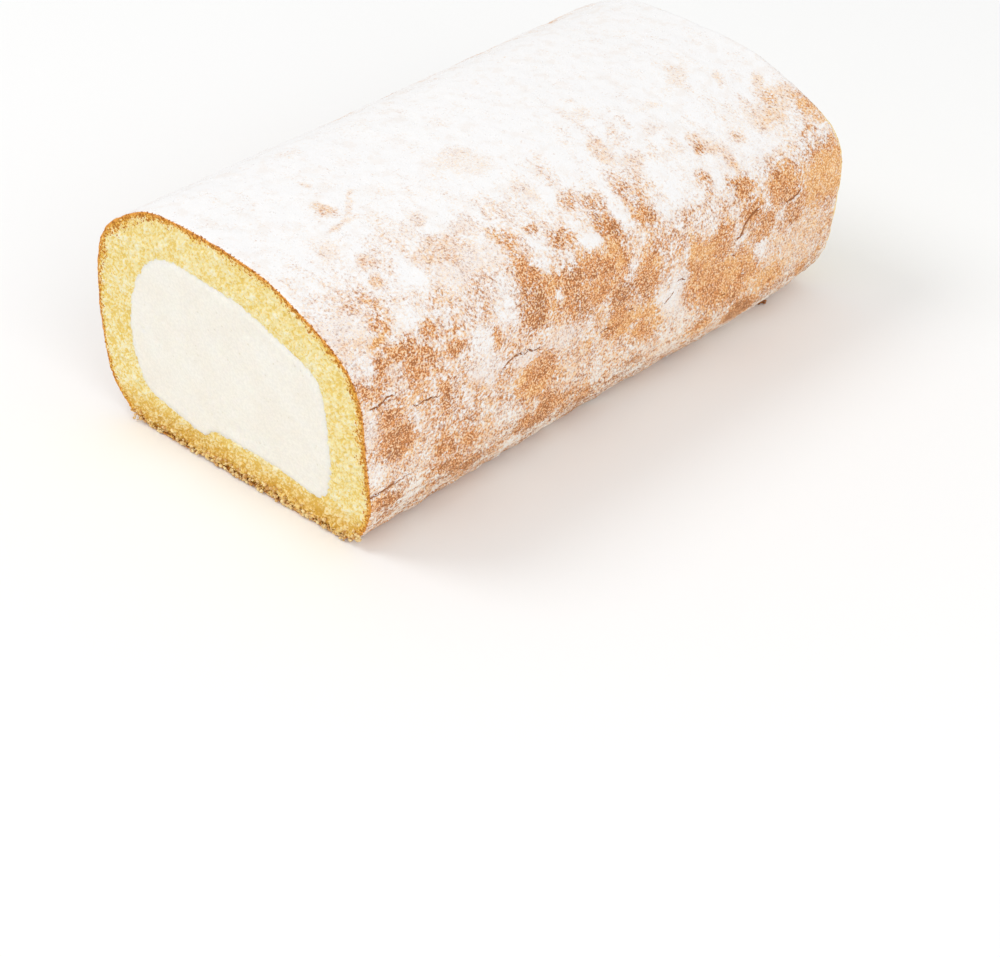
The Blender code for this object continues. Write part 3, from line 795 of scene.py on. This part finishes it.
def cream_rings(share):
    """Rings of one cut face of the cream, from its rim to the line in its middle."""
    rim = at_shares(sheet_inner, [share], cream_rounds)[0]
    middle = rim.mean(axis=0)
    heart_y = np.clip(rim[:, 1] - middle[1], -CREAM_HEART_Y, CREAM_HEART_Y) + middle[1]
    heart = np.stack([rim[:, 0] * 0, heart_y, rim[:, 0] * 0 + middle[2]], axis=1)
    away = rim - middle
    away /= np.linalg.norm(away, axis=1)[:, None]
    rings = []
    for inward in np.linspace(0, 1, FACE_RINGS) ** 1.5:
        ring = (rim + away * CREAM_REACH) * (1 - inward) + heart * inward
        ring[:, 0] = cut_x(share, ring[:, 2])
        rings.append(ring)
    return np.array(rings)


near_face, far_face = cream_rings(0.0), cream_rings(1.0)
for face, out in ((near_face, -1), (far_face, 1)):
    from_rim = np.linalg.norm((face - face[:1])[:, :, 1:], axis=2)
    swell = 0.00022 * wobble(face, 0.016, 31) + 0.00007 * wobble(face, 0.0045, 32)
    swell += 0.00003 * wobble(face, 0.0012, 33)
    inner = np.clip((from_rim - 0.001) / 0.003, 0, 1)
    bubbles = pores(face.reshape(-1, 3), 0.0042, 34, 0.16).reshape(face.shape[:2])
    uneven = 0.00035 * wobble(face, 0.0026, 35, 3) + 0.0002 * wobble(face, 0.0010, 36)
    sunk = np.clip(1 - from_rim / 0.0018, 0, 1) * (CREAM_SUNK + uneven)
    smear = CREAM_PROUD * (1 - inner) + swell * inner
    face[:, :, 0] += out * (smear - sunk - 0.0005 * bubbles * inner)
sides = [near_face[0] * (1 - k) + far_face[0] * k for k in np.linspace(0, 1, 8)[1:-1]]
body = np.concatenate([near_face[::-1], np.array(sides), far_face])
body = np.concatenate([body, body[:, :1]], axis=1)

shape = bmesh.new()
rows, columns = body.shape[:2]
bmesh.ops.create_grid(shape, x_segments=columns - 1, y_segments=rows - 1, size=1.0)
for vert in shape.verts:
    vert.co = body[round((vert.co.y + 1) / 2 * (rows - 1)), round((vert.co.x + 1) / 2 * (columns - 1))]
bmesh.ops.remove_doubles(shape, verts=shape.verts, dist=0.000004)
hearts = [v for v in shape.verts if v.is_boundary]
bmesh.ops.remove_doubles(shape, verts=hearts, dist=0.0003)
cream = finished("whipped_cream", shape)

CREAM_WHITE = (0.915, 0.88, 0.80, 1)
CREAM_SHADE = (0.90, 0.855, 0.765, 1)
CREAM_BUBBLE_SHADE = (0.66, 0.60, 0.46, 1)
BUBBLE_SPACING = 0.0022
CREAM_FINISH = {
    "Roughness": 0.55,
    "Specular IOR Level": 0.3,
    "Subsurface Weight": 0.35,
    "Subsurface Radius": (1.0, 0.85, 0.6),
    "Subsurface Scale": 0.0025,
}
cream_look, tree, shader = surface("whipped_cream", CREAM_FINISH)
clouds = stretch(tree, speckle(tree, 0.012, 3.0, 0.5, 8.8), 0.35, 0.7)
colour = mixed(tree, clouds, CREAM_WHITE, CREAM_SHADE)
cells = node(tree, "TexVoronoi", {"Vector": own_place(tree), "Scale": 1 / BUBBLE_SPACING})
tiny = stretch(tree, cells.outputs["Distance"], 0.05, 0.20, 1.0, 0.0)
rare = stretch(tree, speckle(tree, 0.006, 2.0, 0.5, 9.1), 0.46, 0.60)
tiny = maths(tree, "MULTIPLY", tiny, rare)
dapple = stretch(tree, speckle(tree, 0.0008, 3.0, 0.7, 10.3), 0.3, 0.7, 0.95, 1.03)
colour = mixed(tree, 1.0, colour, dapple, "MULTIPLY")
# painted shade: the tiny bubbles are painted darker, for the shade inside their pits
colour = mixed(tree, maths(tree, "MULTIPLY", tiny, 0.45), colour, CREAM_BUBBLE_SHADE)
tree.links.new(colour, shader.inputs["Base Color"])
height = maths(tree, "MULTIPLY_ADD", tiny, -0.8, speckle(tree, 0.0009, 3.0, 0.6, 9.7))
bump(tree, shader, height, 0.0002, 0.6)
cream.data.materials.append(cream_look)
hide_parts("cream")

# ----------------------------------------
# Loose sugar: grains and small lumps of powdered sugar that stand on the crust, most of them
# where it lies thick. They are one joined mesh of uneven lumps, laid on the corners of the crust.
SUGAR_LUMPS = 4200
LUMP_KINDS = 8
FULL_TURN = 6.283
SUGAR_GREY = (0.90, 0.88, 0.86, 1)
chance = random.Random(41)


def lump_shape(seed):
    """Corners and faces of one uneven lump about 2 units across."""
    shape = bmesh.new()
    bmesh.ops.create_icosphere(shape, subdivisions=1, radius=1.0)
    for vert in shape.verts:
        vert.co *= 1 + 0.45 * noise.noise(vert.co * 1.3 + Vector((seed * 3.3, 0, 0)))
    corners = np.array([v.co[:] for v in shape.verts])
    faces = np.array([[v.index for v in f.verts] for f in shape.faces])
    shape.free()
    return corners, faces


def scatter(name, places, look):
    """One mesh of lumps: places holds (centre, radius, flatness) of each."""
    kinds = [lump_shape(seed) for seed in range(LUMP_KINDS)]
    corners, faces, count = [], [], 0
    for centre, radius, flatness in places:
        body, sides = kinds[chance.randrange(len(kinds))]
        spin = Matrix.Rotation(chance.uniform(0, FULL_TURN), 3, "Z")
        tip = Matrix.Rotation(chance.uniform(0, FULL_TURN), 3, "X")
        corners.append(body @ np.array(spin @ tip).T * radius * np.array([1, 1, flatness]) + centre)
        faces.append(sides + count)
        count += len(body)
    mesh = bpy.data.meshes.new(name)
    mesh.from_pydata(np.concatenate(corners).tolist(), [], np.concatenate(faces).tolist())
    mesh.shade_smooth()
    mesh.materials.append(look)
    piece = placed(name, mesh)


grain_places = []
while len(grain_places) < SUGAR_LUMPS:
    i = chance.randrange(len(places))
    if outside[i] < 1 or not 60 < around[i] < 262 or from_end[i] < 0.5:
        continue
    if chance.random() < min(max(1.3 * sugar[i] - 0.5, 0.05), 0.6):
        radius = 0.00009 + 0.00014 * chance.random() ** 2
        jitter = np.array([chance.uniform(-1, 1) for _ in range(3)]) * 0.0004
        jitter -= way[i] * (jitter @ way[i])
        grain_places.append((places[i] + jitter + way[i] * radius * 0.3, radius, 1.0))
sugar_look, tree, shader = surface("powdered_sugar", {"Roughness": 0.95, "Specular IOR Level": 0.2})
tint = stretch(tree, speckle(tree, 0.004, 2.0, 0.5, 12.0), 0.3, 0.7)
tree.links.new(mixed(tree, tint, SUGAR_WHITE, SUGAR_GREY), shader.inputs["Base Color"])
scatter("sugar_grains", grain_places, sugar_look)

# ----------------------------------------
# Crumbs: what the knife dragged down to the foot of each cut, with a few more where the two lower
# corners of the near cut have frayed. They are lumps of sponge, from crumb yellow to toasted.
FOOT_CRUMBS = 900
# Where the near cut has frayed: metres round from the seam, how many crumbs, how far they reach.
FRAYED_CORNERS = ((0.268, 9, 0.0016), (0.058, 8, 0.0012), (0.052, 5, 0.0010))
CRUMB_FLATNESS = 0.85
LOOSE_YELLOW = (0.97, 0.80, 0.42, 1)
LOOSE_TOASTED = (0.62, 0.32, 0.09, 1)
crumb_places = []


def add_crumb(foot, spread, radius):
    """A crumb near a place at the foot of a cut, never below the table."""
    centre = np.array(foot) + spread
    centre[2] = max(centre[2], radius * 1.05)
    crumb_places.append((centre, radius, CRUMB_FLATNESS))


for _ in range(FOOT_CRUMBS):
    share = 0.0 if chance.random() < 0.6 else 1.0
    at = chance.uniform(0.0, 0.2) if chance.random() < 0.8 else chance.uniform(0.9, 1.0)
    foot = at_shares(sheet_outer, [share], np.array([at]))[0, 0]
    out = -1 if share == 0.0 else 1
    radius = 0.00016 + 0.00055 * chance.random() ** 3
    lift = 0.0006 + chance.random() ** 2 * 0.0036
    add_crumb(foot, (out * radius * chance.uniform(-0.3, 0.6), chance.uniform(-1, 1) * 0.001, lift), radius)
for corner, count, reach in FRAYED_CORNERS:
    foot = at_shares(sheet_outer, [0.0], np.array([corner / ROUND_LENGTH]))[0, 0]
    for _ in range(count):
        radius = 0.00022 + 0.00026 * chance.random()
        spread = [chance.uniform(*limits) * reach for limits in ((-0.5, 0.2), (-0.8, 0.8), (-0.6, 1))]
        add_crumb(foot, spread, radius)
crumbs_look, tree, shader = surface("loose_crumbs", {"Roughness": 0.9})
tint = stretch(tree, speckle(tree, 0.0012, 2.0, 0.5, 13.0), 0.35, 0.65)
tree.links.new(mixed(tree, tint, LOOSE_YELLOW, LOOSE_TOASTED), shader.inputs["Base Color"])
bump(tree, shader, speckle(tree, 0.0004, 2.0, 0.6, 14.0), 0.0002, 0.8)
scatter("foot_crumbs", crumb_places, crumbs_look)

# ----------------------------------------
# A flake: a scrap of the browned crust that has dropped beside the long side that shows. It is
# five flat lumps grown together, in the brown of the crust.
FLAKE_X, FLAKE_Y = 0.0722, -0.0462
# Its lumps: millimetres along and across from there, and the radius.
FLAKE_LUMPS = ((0, 0, 0.8), (1.1, 0.3, 0.6), (-1.0, 0.1, 0.55), (0.4, -0.8, 0.5), (1.8, -0.2, 0.4))
FLAKE_FLATNESS = 0.7
FLAKE_BROWN = (0.52, 0.22, 0.07, 1)
FLAKE_DARK = (0.22, 0.07, 0.02, 1)
flake_places = []
for along_by, across_by, radius in FLAKE_LUMPS:
    centre = np.array([FLAKE_X + along_by / 1000, FLAKE_Y + across_by / 1000, radius * 0.0009])
    flake_places.append((centre, radius / 1000, FLAKE_FLATNESS))
flake_look, tree, shader = surface("crust_flake", {"Roughness": 0.9})
tint = stretch(tree, speckle(tree, 0.0008, 2.0, 0.5, 15.0), 0.35, 0.65)
tree.links.new(mixed(tree, tint, FLAKE_BROWN, FLAKE_DARK), shader.inputs["Base Color"])
scatter("crust_flake", flake_places, flake_look)

# ----------------------------------------
# The table and the light: a plain pale floor, a wide soft light above and to the left of the
# roll, and an even white surround.
FLOOR_HALF = 3.0
FLOOR_DROP = 0.00002  # the floor lies this far under the roll, so that the two don't fight
LIGHT_TARGET = Vector((0, 0, 0.03))
floor_shape = bmesh.new()
bmesh.ops.create_grid(floor_shape, x_segments=4, y_segments=4, size=FLOOR_HALF)
bmesh.ops.translate(floor_shape, verts=floor_shape.verts, vec=(0, 0, -FLOOR_DROP))
floor_mesh = bpy.data.meshes.new("floor")
floor_shape.to_mesh(floor_mesh)
floor_shape.free()
floor = bpy.data.objects.new("floor", floor_mesh)
bpy.context.scene.collection.objects.link(floor)
FLOOR_FINISH = {"Base Color": (0.93, 0.93, 0.925, 1), "Roughness": 0.8, "Specular IOR Level": 0.1}
floor_look, _, _ = surface("pale_floor", FLOOR_FINISH)
floor.data.materials.append(floor_look)


def soft_light(name, place, size, power):
    lamp = bpy.data.lights.new(name, "AREA")
    lamp.shape = "DISK"
    lamp.size = size
    lamp.energy = power
    holder = bpy.data.objects.new(name, lamp)
    holder.location = place
    holder.rotation_mode = "QUATERNION"
    holder.rotation_quaternion = (LIGHT_TARGET - Vector(place)).to_track_quat("-Z", "Y")
    bpy.context.scene.collection.objects.link(holder)


soft_light("window", (-0.75, 0.95, 1.5), 0.9, 9.0)
soft_light("fill", (-0.55, -1.3, 0.95), 0.9, 6.6)
world = bpy.data.worlds.new("surround")
world.use_nodes = True
world.node_tree.nodes["Background"].inputs["Color"].default_value = (1.0, 1.0, 1.0, 1)
world.node_tree.nodes["Background"].inputs["Strength"].default_value = 0.775
bpy.context.scene.world = world
bpy.context.scene.view_settings.view_transform = "Standard"
